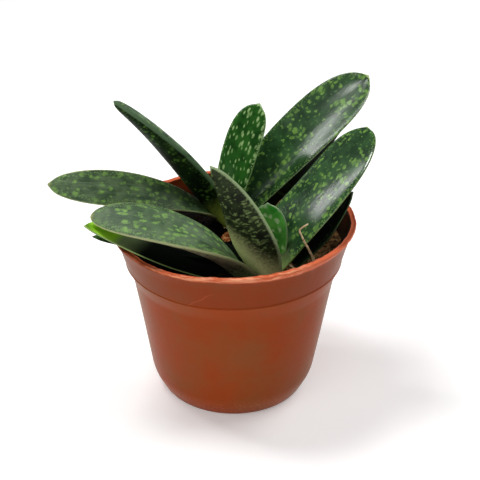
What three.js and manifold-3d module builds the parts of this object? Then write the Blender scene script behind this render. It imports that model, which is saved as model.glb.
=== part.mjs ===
// A potted gasteria: two young plants with tongue-shaped leaves in two ranks, potting soil,
// and a thin plastic nursery pot.
// Millimetres, +Z up. The origin is the middle of the pot's underside, on the surface it stands on.
// -Y is the front: the rear plant grows behind the pot's axis, the front plant close to the front rim.
import * as THREE from 'three';
import { mergeVertices } from 'three/addons/utils/BufferGeometryUtils.js';
import Module from 'manifold-3d';

const wasm = await Module();
wasm.setup();

// ---------------------------------------------------------------------------------------------
// Driving dimensions
// ---------------------------------------------------------------------------------------------
const GAP = 0.3;                  // clearance between touching pieces

const POT = {
  height: 92,
  lipRadius: 60,                  // outer radius of the flange round the mouth
  lipThickness: 1.8,
  lipOverhang: 2.2,               // how far the flange stands out past the collar
  lipChamfer: 0.4,
  collarFootRadius: 53.9,         // outer radius at the foot of the collar
  collarFootHeight: 73,
  shoulderRadius: 51.1,           // outer radius of the wall just under the collar
  shoulderHeight: 67.5,
  heelRadius: 41.9,               // outer radius where the wall turns in to the foot
  heelHeight: 10.2,
  footRadius: 36.8,
  wall: 1.0,
  floor: 1.4,
  segments: 56,
};
const DRAIN_SLOT = { count: 8, innerRadius: 21, outerRadius: 30, width: 4.6, arcSegments: 5 };

const SOIL = { level: 80, rings: 6, segments: 40, unevenness: 0.9 };
const SOIL_SWELL = { x: 0.19, y: 0.16, phase: 1.2 };      // radians a millimetre
const SOIL_RIPPLE = { x: -0.23, y: 0.31, share: 0.6 };

const ROOTSTOCK = {
  radius: 5.5,
  top: 80.5,
  crownHeight: 3,                 // the rounded top, narrowing to crownShare of the radius
  crownShare: 0.6,
  bottom: 66,
  footHeight: 4,                  // the rounded bottom, where the roots leave
  footShare: 0.7,
  segments: 12,
};
const ROOTS = { count: 4, drop: 28, reach: 10, radius: 1.5, tipShare: 0.5, turn: 0.35, sides: 6 };
const REAR_CROWN = { x: -2, y: 16 };
const FRONT_CROWN = { x: 15.5, y: -28 };

// Each leaf leaves its crown at `base` and runs along a spine whose direction turns from the
// first to the second value of azimuth (0 = +X, 90 = +Y) and elevation; bend below 1 puts more of
// the turn near the base. roll turns the blade about the spine and lifts its left margin.
// Angles are degrees. baseShare: width at the base over the full width. widestAt: share of the
// length at the widest place. tipPower: how full the tip is, 1.5 = tapering, 2.6 = blunt.
// upperShare: share of the thickness that lies above the blade's middle surface. sway: how far the
// tip bends over towards the left margin. mucro: length of the small hard point at the tip. keel: how
// far the underside's ridge beside the right margin stands down.
const BLUNT = {
  baseShare: 0.55, widestAt: 0.55, tipPower: 2.6, bend: 1, upperShare: 0.35, sway: 0, mucro: 1.6, keel: 0,
};
const TAPERING = { ...BLUNT, baseShare: 0.5, tipPower: 1.8 };
const LEAVES = [
  // front plant, innermost first
  { name: 'front_leaf_inner_right', ...BLUNT, base: [18.9, -19.2, 75.4], azimuth: [48, 55],
    elevation: [86, 110], roll: [0.5, 20], length: 37.9, width: 16.8, thickness: 3.3, baseShare: 0.67,
    widestAt: 0.58, tipPower: 2.7 },
  { name: 'front_leaf_inner_left', ...TAPERING, base: [15.8, -28.5, 77.1], azimuth: [219, 181],
    elevation: [69, 47.7], roll: [19, 62.8], length: 69.1, width: 23.8, thickness: 3.9, baseShare: 0.55,
    widestAt: 0.29, tipPower: 1.2, bend: 2.16, sway: 5.1 },
  { name: 'front_leaf_middle_left', ...BLUNT, base: [8, -31, 78], azimuth: [198.7, 169.3],
    elevation: [63.8, -11], roll: [19.2, -30], length: 86, width: 27, thickness: 7, baseShare: 0.42,
    widestAt: 0.38, tipPower: 2.1, bend: 0.76, upperShare: 0.31, sway: -2.8, mucro: 0.5 },
  { name: 'front_leaf_upper_right', ...BLUNT, base: [17, -13, 79.5], azimuth: [-6, 50],
    elevation: [54.8, 36.3], roll: [33, -18], length: 82, width: 36.5, thickness: 5.5, baseShare: 0.72,
    widestAt: 0.5, tipPower: 2.9, bend: 1.6, sway: 6.5 },
  { name: 'front_leaf_lower_left', ...TAPERING, base: [15.5, -30.5, 75.5], azimuth: [164, 197.5],
    elevation: [17, 21], roll: [-40, 0], length: 90, width: 27, thickness: 4, widestAt: 0.59, bend: 0.93 },
  { name: 'front_leaf_lower_right', ...BLUNT, base: [24, -21, 77], azimuth: [28, 17], elevation: [42, 40],
    roll: [12, -9], length: 44.5, width: 25, thickness: 4.4 },
  { name: 'front_leaf_lowest_left', ...TAPERING, base: [13.7, -17.1, 78], azimuth: [185, 187],
    elevation: [18, 7], roll: [-8, -6], length: 82, width: 17, thickness: 2.4, tipPower: 1.7 },
  // rear plant, innermost first
  { name: 'rear_leaf_centre', ...BLUNT, base: [-4, 15.5, 79.5], azimuth: [54.7, 34.4],
    elevation: [85.6, 56.4], roll: [-10, 12.4], length: 65.8, width: 23.4, thickness: 4.4, widestAt: 0.63,
    tipPower: 3.1 },
  { name: 'rear_leaf_upper_left', ...TAPERING, base: [-0.6, 18.4, 80.6], azimuth: [202.3, 201],
    elevation: [56.3, 43.4], roll: [33.9, 3.5], length: 100.3, width: 20.5, thickness: 10.4,
    baseShare: 0.4, widestAt: 0.56, tipPower: 1.1, bend: 1.7, upperShare: 0.42, sway: 10.7 },
  { name: 'rear_leaf_right', ...BLUNT, base: [-6, 16.5, 80.5], azimuth: [19, 19], elevation: [53, 34],
    roll: [22, 22], length: 105, width: 32.5, thickness: 5.6, widestAt: 0.61, tipPower: 3, keel: 8 },
  { name: 'rear_leaf_lower_left', ...BLUNT, base: [-5.7, 21.8, 80.2], azimuth: [232, 166.3],
    elevation: [42.7, 6.6], roll: [-12.3, -66], length: 103.2, width: 18.2, thickness: 4, baseShare: 0.3,
    widestAt: 0.68, tipPower: 2.07, bend: 1.25, upperShare: 0.41, sway: 10 },
];
const LEAF_STATIONS = 18;         // rings along a leaf
const LEAF_RING = 12;             // points round a ring
const TIP_CROWDING = 1.5;         // above 1 the rings stand closer together towards the tip
const THICKNESS = { base: 1.1, tip: 0.75 };    // shares of a leaf's thickness
const CHANNEL = { base: 0.45, blade: 0.06, end: 0.5 };   // margins' rise over the half width
const KEEL = {                    // shares of half the width, and of the length
  at: -0.866, reach: 0.45, rises: [0.07, 0.18], ends: [0.56, 0.74],
};

const DRY_ROOT = {                // a dead, straw-coloured root standing up out of the soil
  path: [[38.9, -33.2, 77], [37.8, -34, 88.2], [35.1, -35.3, 95.3], [33.1, -36, 99.4], [31, -36, 104.1],
    [30.5, -36, 106.5], [34, -37, 109.9]],
  baseRadius: 0.7, tipRadius: 0.35, stations: 18, ring: 6,
};
const DRY_SHEATH = {              // withered scrap of an old leaf base beside the front plant
  path: [[24.6, -23, 80.8], [26.2, -25, 81.6], [28.2, -27.2, 81.4], [30.6, -28.2, 80.7]],
  width: 2.4, thickness: 0.8, stations: 8, ring: 8,
};
const BARK_CHIP = { centre: [-1.5, 3, 80.6], size: [9, 7, 5.4], turn: 25 };

const COLOURS = {
  pot: 0x9a4a2b, soil: 0x33241a, rootstock: 0xb9a777, darkLeaf: 0x2f5a3c, youngLeaf: 0x2c7a2e,
  limeLeaf: 0x6f9a2a, straw: 0xc9a878, bark: 0x8a5a30,
};

// ---------------------------------------------------------------------------------------------
// Closed meshes and booleans
// ---------------------------------------------------------------------------------------------
const TAU = 2 * Math.PI;
const radians = THREE.MathUtils.degToRad;
const lerp = THREE.MathUtils.lerp;

/** A closed mesh from a list of rings of equal length, capped at a point before and after them. */
function sweepGeometry(rings, startPoint, endPoint) {
  const count = rings[0].length;
  const points = [startPoint, ...rings.flat(), endPoint];
  const last = points.length - 1;
  const index = [];
  for (let j = 0; j < count; j += 1) {
    const k = (j + 1) % count;
    index.push(0, 1 + k, 1 + j);
    for (let i = 0; i < rings.length - 1; i += 1) {
      const a = 1 + i * count;
      const b = a + count;
      index.push(a + j, a + k, b + k, a + j, b + k, b + j);
    }
    const end = 1 + (rings.length - 1) * count;
    index.push(end + j, end + k, last);
  }
  const geometry = new THREE.BufferGeometry();
  geometry.setAttribute('position', new THREE.Float32BufferAttribute(points.flatMap((p) => p.toArray()), 3));
  geometry.setIndex(index);
  return geometry;
}

/** The manifold solid of a closed geometry. */
function solidOf(geometry) {
  const bare = geometry.clone();
  bare.deleteAttribute('normal');
  bare.deleteAttribute('uv');
  const merged = mergeVertices(bare, 1e-4);
  return new wasm.Manifold(new wasm.Mesh({
    numProp: 3,
    vertProperties: new Float32Array(merged.attributes.position.array),
    triVerts: new Uint32Array(merged.index.array),
  }));
}

/** The largest connected piece of a solid, as a geometry. */
function geometryOf(solid) {
  const largest = solid.decompose().reduce((a, b) => (a.volume() > b.volume() ? a : b));
  const mesh = largest.getMesh();
  const geometry = new THREE.BufferGeometry();
  geometry.setAttribute('position', new THREE.BufferAttribute(new Float32Array(mesh.vertProperties), 3));
  geometry.setIndex(new THREE.BufferAttribute(new Uint32Array(mesh.triVerts), 1));
  return geometry;
}

function cut(solid, tools) {
  return tools.reduce((rest, tool) => rest.subtract(tool), solid);
}

function addPiece(group, name, geometry, color, roughness) {
  const material = new THREE.MeshStandardMaterial({ color, roughness, metalness: 0, flatShading: true });
  const mesh = new THREE.Mesh(geometry, material);
  mesh.name = name;
  group.add(mesh);
}

// ---------------------------------------------------------------------------------------------
// Leaves
// ---------------------------------------------------------------------------------------------
/** The spine's direction, the blade's left and its upper side, at share s of the length. */
function leafFrame(leaf, s) {
  const turn = s ** leaf.bend;
  const azimuth = radians(lerp(...leaf.azimuth, turn));
  const elevation = radians(lerp(...leaf.elevation, turn));
  const roll = radians(lerp(...leaf.roll, s));
  const level = Math.cos(elevation);
  const along = new THREE.Vector3(level * Math.cos(azimuth), level * Math.sin(azimuth), Math.sin(elevation));
  const flatLeft = new THREE.Vector3(-Math.sin(azimuth), Math.cos(azimuth), 0);
  const flatUp = along.clone().cross(flatLeft);
  const left = flatLeft.clone().multiplyScalar(Math.cos(roll)).addScaledVector(flatUp, Math.sin(roll));
  const up = along.clone().cross(left);
  return { along, left, up };
}

/** Half the blade's width at share s of its length, as a share of half the full width. */
function bladeOutline(leaf, s) {
  if (s < leaf.widestAt) {
    return lerp(leaf.baseShare, 1, Math.sin((s / leaf.widestAt) * Math.PI / 2));
  }
  const t = (s - leaf.widestAt) / (1 - leaf.widestAt);
  return Math.sqrt(Math.max(0, 1 - t ** leaf.tipPower));
}

/** How far the keel stands down at share s of the length and share across of the half width. */
function keelDepth(leaf, s, across) {
  const risen = THREE.MathUtils.smoothstep(s, ...KEEL.rises);
  const ended = THREE.MathUtils.smoothstep(s, ...KEEL.ends);
  return leaf.keel * (risen - ended) * Math.max(0, 1 - Math.abs(across - KEEL.at) / KEEL.reach);
}

/** A leaf as a closed mesh: lens-shaped sections bent into a shallow channel, set along the spine. */
function leafGeometry(leaf, grow = 0) {
  const rings = [];
  const centre = new THREE.Vector3(...leaf.base);
  let before = 0;
  let first;
  let frame;
  for (let i = 0; i <= LEAF_STATIONS; i += 1) {
    const s = 1 - (1 - i / (LEAF_STATIONS + 1)) ** TIP_CROWDING;
    const step = leafFrame(leaf, (before + s) / 2).along;
    centre.addScaledVector(step, leaf.length * (s - before));
    before = s;
    frame = leafFrame(leaf, s);
    const outline = bladeOutline(leaf, s);
    const half = leaf.width / 2 * outline + grow;
    const thick = leaf.thickness * lerp(THICKNESS.base, THICKNESS.tip, s) * Math.sqrt(outline);
    const rise = lerp(CHANNEL.base, CHANNEL.blade, Math.min(1, s / CHANNEL.end)) * half;
    const middle = centre.clone().addScaledVector(frame.left, leaf.sway * s * s);
    const ring = [];
    for (let j = 0; j < LEAF_RING; j += 1) {
      const angle = TAU * j / LEAF_RING;
      const across = Math.cos(angle);
      const face = Math.sin(angle);
      const share = face > 0 ? leaf.upperShare : 1 - leaf.upperShare;
      const keel = face > 0 ? 0 : keelDepth(leaf, s, across);
      const height = rise * (across * across - 0.5) + face * (share * thick + grow) - keel;
      ring.push(middle.clone().addScaledVector(frame.left, across * half).addScaledVector(frame.up, height));
    }
    if (i === 0) {
      first = centre.clone().addScaledVector(frame.up, -rise / 2).addScaledVector(frame.along, -grow);
    }
    rings.push(ring);
  }
  const rest = leaf.length * (1 - before) + leaf.mucro + grow;
  const tip = centre.clone().addScaledVector(frame.along, rest).addScaledVector(frame.left, leaf.sway);
  return sweepGeometry(rings, first, tip);
}

// ---------------------------------------------------------------------------------------------
// Pot
// ---------------------------------------------------------------------------------------------
/** Outer radius of the pot's wall at a height, flange left out. */
function potOuterRadius(z) {
  const profile = potWallProfile();
  for (let i = 1; i < profile.length; i += 1) {
    const [r0, z0] = profile[i - 1];
    const [r1, z1] = profile[i];
    if (z <= z1) {
      return lerp(r0, r1, (z - z0) / (z1 - z0));
    }
  }
  return profile.at(-1)[0];
}

function potWallProfile() {
  return [
    [POT.footRadius, 0],
    [POT.heelRadius, POT.heelHeight],
    [POT.shoulderRadius, POT.shoulderHeight],
    [POT.collarFootRadius, POT.collarFootHeight],
    [POT.lipRadius - POT.lipOverhang, POT.height - POT.lipThickness],
  ];
}

/** A lathe about the Z axis from [radius, height] pairs that start and end on the axis. */
function latheZ(profile, segments) {
  const points = profile.map(([r, z]) => new THREE.Vector2(r, z));
  return new THREE.LatheGeometry(points, segments).rotateX(Math.PI / 2);
}

function potGeometry() {
  const wall = potWallProfile();
  const inside = wall.slice(1, -1).map(([r, z]) => [r - POT.wall, z]);
  const profile = [
    [0, 0],
    ...wall,
    [POT.lipRadius, POT.height - POT.lipThickness],
    [POT.lipRadius, POT.height - POT.lipChamfer],
    [POT.lipRadius - POT.lipChamfer, POT.height],
    [POT.lipRadius - POT.lipOverhang - POT.wall, POT.height],
    ...inside.reverse(),
    [potOuterRadius(POT.floor) - POT.wall, POT.floor],
    [0, POT.floor],
  ];
  const body = solidOf(latheZ(profile, POT.segments));
  return geometryOf(cut(body, drainSlots()));
}

/** Tools that cut the ring of drainage slots through the pot's floor. */
function drainSlots() {
  const half = DRAIN_SLOT.width / 2;
  const shape = new THREE.Shape();
  shape.absarc(DRAIN_SLOT.outerRadius - half, 0, half, -Math.PI / 2, Math.PI / 2, false);
  shape.absarc(DRAIN_SLOT.innerRadius + half, 0, half, Math.PI / 2, 3 * Math.PI / 2, false);
  const depth = 3 * POT.floor;
  const curveSegments = DRAIN_SLOT.arcSegments;
  const slot = new THREE.ExtrudeGeometry(shape, { depth, bevelEnabled: false, curveSegments });
  slot.translate(0, 0, -POT.floor);
  return Array.from({ length: DRAIN_SLOT.count }, (_, i) => {
    return solidOf(slot.clone().rotateZ(TAU * (i + 0.5) / DRAIN_SLOT.count));
  });
}

// ---------------------------------------------------------------------------------------------
// Soil, rootstocks and scraps
// ---------------------------------------------------------------------------------------------
/** Height of the uneven soil surface. */
function soilHeight(x, y) {
  const swell = Math.sin(SOIL_SWELL.x * x + SOIL_SWELL.phase) * Math.cos(SOIL_SWELL.y * y);
  const ripple = SOIL_RIPPLE.share * Math.sin(SOIL_RIPPLE.x * x + SOIL_RIPPLE.y * y);
  return SOIL.level + SOIL.unevenness * (swell + ripple);
}

function soilGeometry() {
  const clear = POT.wall + GAP;
  const edge = potOuterRadius(SOIL.level) - clear;
  const foot = POT.floor + GAP;
  const side = [
    [0, foot],
    [potOuterRadius(foot) - clear, foot],
    ...potWallProfile().slice(1, -1).map(([r, z]) => [r - clear, z]),
  ];
  const top = [];
  for (let i = SOIL.rings; i >= 0; i -= 1) {
    top.push([edge * i / SOIL.rings, SOIL.level]);
  }
  const geometry = latheZ([...side, ...top], SOIL.segments);
  const position = geometry.attributes.position;
  for (let i = 0; i < position.count; i += 1) {
    if (position.getZ(i) > SOIL.level - GAP) {
      const inward = 1 - (Math.hypot(position.getX(i), position.getY(i)) / edge) ** 4;
      const lift = soilHeight(position.getX(i), position.getY(i)) - SOIL.level;
      position.setZ(i, SOIL.level + lift * inward);
    }
  }
  return geometry;
}

/** A tapering round tube through the points of a smooth path. */
function strandGeometry(points, startRadius, endRadius, stations, count) {
  const curve = new THREE.CatmullRomCurve3(points.map((p) => new THREE.Vector3(...p)));
  const frames = curve.computeFrenetFrames(stations, false);
  const rings = [];
  for (let i = 0; i <= stations; i += 1) {
    const radius = lerp(startRadius, endRadius, i / stations);
    const centre = curve.getPointAt(i / stations);
    rings.push(Array.from({ length: count }, (_, j) => {
      const angle = TAU * j / count;
      return centre.clone()
        .addScaledVector(frames.normals[i], radius * Math.cos(angle))
        .addScaledVector(frames.binormals[i], radius * Math.sin(angle));
    }));
  }
  return sweepGeometry(rings, curve.getPoint(0), curve.getPoint(1));
}

/** The short stem of one plant with its thick roots, buried in the soil. */
function rootstockSolid(crown, grow = 0) {
  const radius = ROOTSTOCK.radius + grow;
  const rootTop = ROOTSTOCK.bottom + ROOTSTOCK.footHeight;
  const profile = [
    [0, ROOTSTOCK.bottom - grow],
    [radius * ROOTSTOCK.footShare, ROOTSTOCK.bottom - grow],
    [radius, rootTop],
    [radius, ROOTSTOCK.top - ROOTSTOCK.crownHeight],
    [radius * ROOTSTOCK.crownShare, ROOTSTOCK.top + grow],
    [0, ROOTSTOCK.top + grow],
  ];
  const stem = solidOf(latheZ(profile, ROOTSTOCK.segments).translate(crown.x, crown.y, 0));
  const start = ROOTS.radius + grow;
  const roots = Array.from({ length: ROOTS.count }, (_, i) => {
    const azimuth = TAU * (i + ROOTS.turn) / ROOTS.count;
    const path = [[0.1, 0], [0.7, 0.21], [1, 0.6], [0.8, 1]].map(([out, down]) => [
      crown.x + Math.cos(azimuth) * ROOTS.reach * out,
      crown.y + Math.sin(azimuth) * ROOTS.reach * out,
      rootTop - ROOTS.drop * down,
    ]);
    return solidOf(strandGeometry(path, start, start * ROOTS.tipShare, ROOTS.sides, ROOTS.sides));
  });
  return roots.reduce((whole, root) => whole.add(root), stem);
}

/** A rough lump of bark. */
function barkGeometry(grow = 0) {
  const [dx, dy, dz] = BARK_CHIP.size;
  const lump = new THREE.IcosahedronGeometry(1, 1);
  lump.scale(dx / 2 + grow, dy / 2 + grow, dz / 2 + grow);
  return lump.rotateZ(radians(BARK_CHIP.turn)).translate(...BARK_CHIP.centre);
}

/** The withered leaf scrap: a flat, curling ribbon. */
function sheathGeometry(grow = 0) {
  const curve = new THREE.CatmullRomCurve3(DRY_SHEATH.path.map((p) => new THREE.Vector3(...p)));
  const rings = [];
  for (let i = 0; i <= DRY_SHEATH.stations; i += 1) {
    const share = i / DRY_SHEATH.stations;
    const centre = curve.getPointAt(share);
    const along = curve.getTangentAt(share);
    const side = new THREE.Vector3(-along.y, along.x, 0).normalize();
    const up = along.clone().cross(side);
    const half = DRY_SHEATH.width / 2 * (1 - 0.6 * share) + grow;
    const thick = DRY_SHEATH.thickness / 2 + grow;
    rings.push(Array.from({ length: DRY_SHEATH.ring }, (_, j) => {
      const angle = TAU * j / DRY_SHEATH.ring;
      return centre.clone()
        .addScaledVector(side, half * Math.cos(angle))
        .addScaledVector(up, thick * Math.sin(angle));
    }));
  }
  return sweepGeometry(rings, curve.getPoint(0), curve.getPoint(1));
}

// ---------------------------------------------------------------------------------------------
// Assembly
// ---------------------------------------------------------------------------------------------
function leafColour(leaf) {
  if (leaf.name === 'front_leaf_lower_left') {
    return COLOURS.limeLeaf;
  }
  const young = ['front_leaf_inner_right', 'rear_leaf_centre'];
  return young.includes(leaf.name) ? COLOURS.youngLeaf : COLOURS.darkLeaf;
}

function buildPlant() {
  const plant = new THREE.Group();
  addPiece(plant, 'pot', potGeometry(), COLOURS.pot, 0.45);

  const crowns = { rear_rootstock: REAR_CROWN, front_rootstock: FRONT_CROWN };
  const grown = [];               // everything that later pieces and the soil make room for
  for (const [name, crown] of Object.entries(crowns)) {
    addPiece(plant, name, geometryOf(rootstockSolid(crown)), COLOURS.rootstock, 0.8);
    grown.push(rootstockSolid(crown, GAP));
  }
  for (const leaf of LEAVES) {
    const solid = cut(solidOf(leafGeometry(leaf)), grown);
    addPiece(plant, leaf.name, geometryOf(solid), leafColour(leaf), 0.4);
    grown.push(solidOf(leafGeometry(leaf, GAP)));
  }
  const root = DRY_ROOT;
  const strand = (grow) => strandGeometry(
    root.path, root.baseRadius + grow, root.tipRadius + grow, root.stations, root.ring);
  addPiece(plant, 'dry_root', geometryOf(cut(solidOf(strand(0)), grown)), COLOURS.straw, 0.8);
  addPiece(plant, 'dry_leaf_sheath', geometryOf(cut(solidOf(sheathGeometry()), grown)), COLOURS.straw, 0.8);
  addPiece(plant, 'bark_chip', geometryOf(cut(solidOf(barkGeometry()), grown)), COLOURS.bark, 0.9);
  grown.push(solidOf(strand(GAP)), solidOf(sheathGeometry(GAP)), solidOf(barkGeometry(GAP)));
  addPiece(plant, 'potting_soil', geometryOf(cut(solidOf(soilGeometry()), grown)), COLOURS.soil, 1);
  return plant;
}

export default buildPlant();
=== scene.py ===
"""A potted gasteria: two young plants of spotted tongue-shaped leaves in a thin nursery pot.

The classes hold their sizes in millimetres, in the row's frame: +Z up, -Y the front, the origin in
the middle of the pot's underside. MM turns them into metres where a mesh is made.
"""

import logging
import math
import random
from collections.abc import Callable, Iterable, Iterator
from contextlib import contextmanager
from dataclasses import dataclass
from enum import Enum
from itertools import pairwise
from typing import Any

import bmesh
import bpy
import numpy as np
from mathutils import Matrix, Vector, noise


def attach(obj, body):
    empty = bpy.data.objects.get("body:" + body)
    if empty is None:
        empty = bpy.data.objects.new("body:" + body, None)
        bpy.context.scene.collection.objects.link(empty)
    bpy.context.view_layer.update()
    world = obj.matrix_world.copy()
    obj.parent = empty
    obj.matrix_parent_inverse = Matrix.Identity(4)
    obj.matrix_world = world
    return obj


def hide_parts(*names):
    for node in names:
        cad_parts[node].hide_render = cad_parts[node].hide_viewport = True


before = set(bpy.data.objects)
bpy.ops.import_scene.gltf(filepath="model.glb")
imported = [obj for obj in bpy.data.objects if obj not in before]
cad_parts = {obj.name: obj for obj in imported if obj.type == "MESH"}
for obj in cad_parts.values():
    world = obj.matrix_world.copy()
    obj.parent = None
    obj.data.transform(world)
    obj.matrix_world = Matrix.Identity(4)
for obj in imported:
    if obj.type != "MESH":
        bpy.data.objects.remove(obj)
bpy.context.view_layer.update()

log = logging.getLogger("gasteria")

MM = 0.001
TAU = 2 * math.pi
SEED = 11
NOWHERE = (900.0, 901.0)            # millimetres from a tip, beyond the longest leaf's base

Colour = tuple[float, float, float, float]
Point = tuple[float, float, float]
Span = tuple[float, float]
Wire = Any                         # a node socket, or the number or colour set on one


# Small tools

def srgb(red: int, green: int, blue: int) -> Colour:
    """A linear colour from screen values of 0 to 255."""
    def linear(value: int) -> float:
        """One channel of the colour."""
        share = value / 255
        return share / 12.92 if share <= 0.04045 else ((share + 0.055) / 1.055) ** 2.4
    return linear(red), linear(green), linear(blue), 1.0


def lerp(start: Any, end: Any, share: Any) -> Any:
    """The value at a share of the way from start to end."""
    return start + (end - start) * share


def smooth_step(value: Any, low: float, high: float) -> Any:
    """0 below low, 1 above high, and an easy slope between."""
    share = np.clip((value - low) / (high - low), 0, 1)
    return share * share * (3 - 2 * share)


def start_clean() -> None:
    """Leaves edit mode and deselects everything, so that the next step acts on its own piece."""
    if bpy.context.mode != "OBJECT":
        bpy.ops.object.mode_set(mode="OBJECT")
    bpy.ops.object.select_all(action="DESELECT")


def only(piece: bpy.types.Object) -> None:
    """Selects one object and makes it the active one.

    Args:
        piece: The object that the next operators act on.
    """
    start_clean()
    piece.select_set(True)
    bpy.context.view_layer.objects.active = piece


def new_shape(add: Callable[..., Any], **settings: Any) -> bpy.types.Object:
    """Adds a shape, with its place in its mesh.

    Args:
        add: The operator that adds it.
        settings: The shape's sizes, turn and place.

    Returns:
        The new object.
    """
    start_clean()
    add(**settings)
    bpy.ops.object.transform_apply(location=True, rotation=True, scale=True)
    return bpy.context.object


def select_faces() -> None:
    """Selects all faces, in edit mode."""
    bpy.ops.mesh.select_mode(type="FACE")
    bpy.ops.mesh.select_all(action="SELECT")


def face_outward() -> None:
    """Turns all faces outwards, in edit mode."""
    bpy.ops.mesh.select_all(action="SELECT")
    bpy.ops.mesh.normals_make_consistent(inside=False)


@contextmanager
def editing(piece: bpy.types.Object) -> Iterator[None]:
    """Holds one piece in edit mode, with all its faces selected at the start.

    Args:
        piece: The object to edit.

    Yields:
        Nothing; the piece is in edit mode inside the with block.
    """
    only(piece)
    bpy.ops.object.mode_set(mode="EDIT")
    select_faces()
    yield
    bpy.ops.object.mode_set(mode="OBJECT")


def pick(piece: bpy.types.Object, test: Callable[[Vector], bool], kind: str = "VERT") -> None:
    """Selects, in edit mode, the corners or edges that lie where the test says.

    Args:
        piece: The object in edit mode.
        test: Says of a point, in millimetres, whether it is picked. Both ends of an edge have to
            pass.
        kind: VERT or EDGE.
    """
    bpy.ops.mesh.select_mode(type=kind)
    bpy.ops.mesh.select_all(action="DESELECT")
    mesh = bmesh.from_edit_mesh(piece.data)
    picked = [corner for corner in mesh.verts if test(corner.co / MM)]
    if kind == "EDGE":
        ends = set(picked)
        picked = [edge for edge in mesh.edges if ends.issuperset(edge.verts)]
    for item in picked:
        item.select_set(True)
    bmesh.update_edit_mesh(piece.data)


def push_up(section: Iterable[Span]) -> None:
    """Extrudes the selected round face along the section of a turned shape, in edit mode.

    Args:
        section: The section's radii and heights, the first where the face is now.
    """
    for (old_radius, old_height), (radius, height) in pairwise(section):
        rise = (0, 0, (height - old_height) * MM)
        bpy.ops.mesh.extrude_region_move(TRANSFORM_OT_translate={"value": rise})
        share = radius / old_radius
        bpy.ops.transform.resize(value=(share, share, 1), center_override=(0, 0, height * MM))


def points_of(piece: bpy.types.Object) -> np.ndarray:
    """The corners of a mesh, in millimetres, one row each."""
    flat = np.empty(len(piece.data.vertices) * 3)
    piece.data.vertices.foreach_get("co", flat)
    return flat.reshape(-1, 3) / MM


def move_points(piece: bpy.types.Object, points: np.ndarray) -> None:
    """Puts the corners of a mesh at new places, given in millimetres."""
    piece.data.vertices.foreach_set("co", (points * MM).ravel())
    piece.data.update()


def use_modifier(piece: bpy.types.Object, kind: str, **settings: Any) -> None:
    """Adds a modifier to a piece and applies it.

    Args:
        piece: The object to change.
        kind: The modifier's type.
        settings: The modifier's own values.
    """
    only(piece)
    modifier = piece.modifiers.new(kind.title(), kind)
    for key, value in settings.items():
        setattr(modifier, key, value)
    bpy.ops.object.modifier_apply(modifier=modifier.name)


def join_all(pieces: list[bpy.types.Object]) -> bpy.types.Object:
    """Joins objects into the first of them.

    Args:
        pieces: The objects; all but the first are gone afterwards.

    Returns:
        The joined object.
    """
    only(pieces[0])
    for piece in pieces[1:]:
        piece.select_set(True)
    bpy.ops.object.join()
    return pieces[0]


def copies_of(piece: bpy.types.Object, places: Iterable[Matrix]) -> bpy.types.Object:
    """Repeats a shape, each copy with a mesh of its own, and joins the copies.

    Args:
        piece: The object to copy; it is removed.
        places: Where each copy's mesh goes.

    Returns:
        All copies as one object.
    """
    twins = []
    for place in places:
        twin = piece.copy()
        twin.data = piece.data.copy()
        twin.data.transform(place)
        bpy.context.scene.collection.objects.link(twin)
        twins.append(twin)
    bpy.data.objects.remove(piece)
    return join_all(twins)


def rough(points: np.ndarray, size: float, depth: float, seed: float = 0.0) -> np.ndarray:
    """Smooth random heights at some points.

    Args:
        points: One row each, in millimetres.
        size: The distance between bumps.
        depth: The height of the bumps.
        seed: Shifts the pattern.

    Returns:
        One height each, in millimetres.
    """
    shift = Vector((seed, 1.7 * seed, 3.1 * seed))
    return np.array([noise.noise(Vector(point) / size + shift) for point in points]) * depth


def finish_piece(piece: bpy.types.Object, name: str,
                 nodes: tuple[str, ...] = ()) -> None:
    """Names a finished piece, lets it ride on the plant's one body and logs it.

    Args:
        piece: The object; its place is in its mesh.
        name: The piece's name.
        nodes: The CAD nodes that it stands for.
    """
    piece.name = name
    piece.data.name = name
    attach(piece, "root")
    if nodes:
        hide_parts(*nodes)
    log.info("%s: %d faces", name, len(piece.data.polygons))


def smooth(piece: bpy.types.Object) -> None:
    """Shades a piece smooth all over."""
    only(piece)
    bpy.ops.object.shade_smooth()


def wear(piece: bpy.types.Object, *materials: bpy.types.Material) -> None:
    """Gives a piece these materials, in the order of its slots, in place of what it has."""
    piece.data.materials.clear()
    for material in materials:
        piece.data.materials.append(material)


def store(piece: bpy.types.Object, name: str, values: np.ndarray) -> None:
    """Stores a number or a vector on each corner of a mesh, for its material.

    Args:
        piece: The object.
        name: What the material reads it by.
        values: One number or one row for each corner.
    """
    kind, key = ("FLOAT", "value") if values.ndim == 1 else ("FLOAT_VECTOR", "vector")
    attribute = piece.data.attributes.new(name, kind, "POINT")
    attribute.data.foreach_set(key, values.astype(np.float32).ravel())


# Materials

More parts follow.
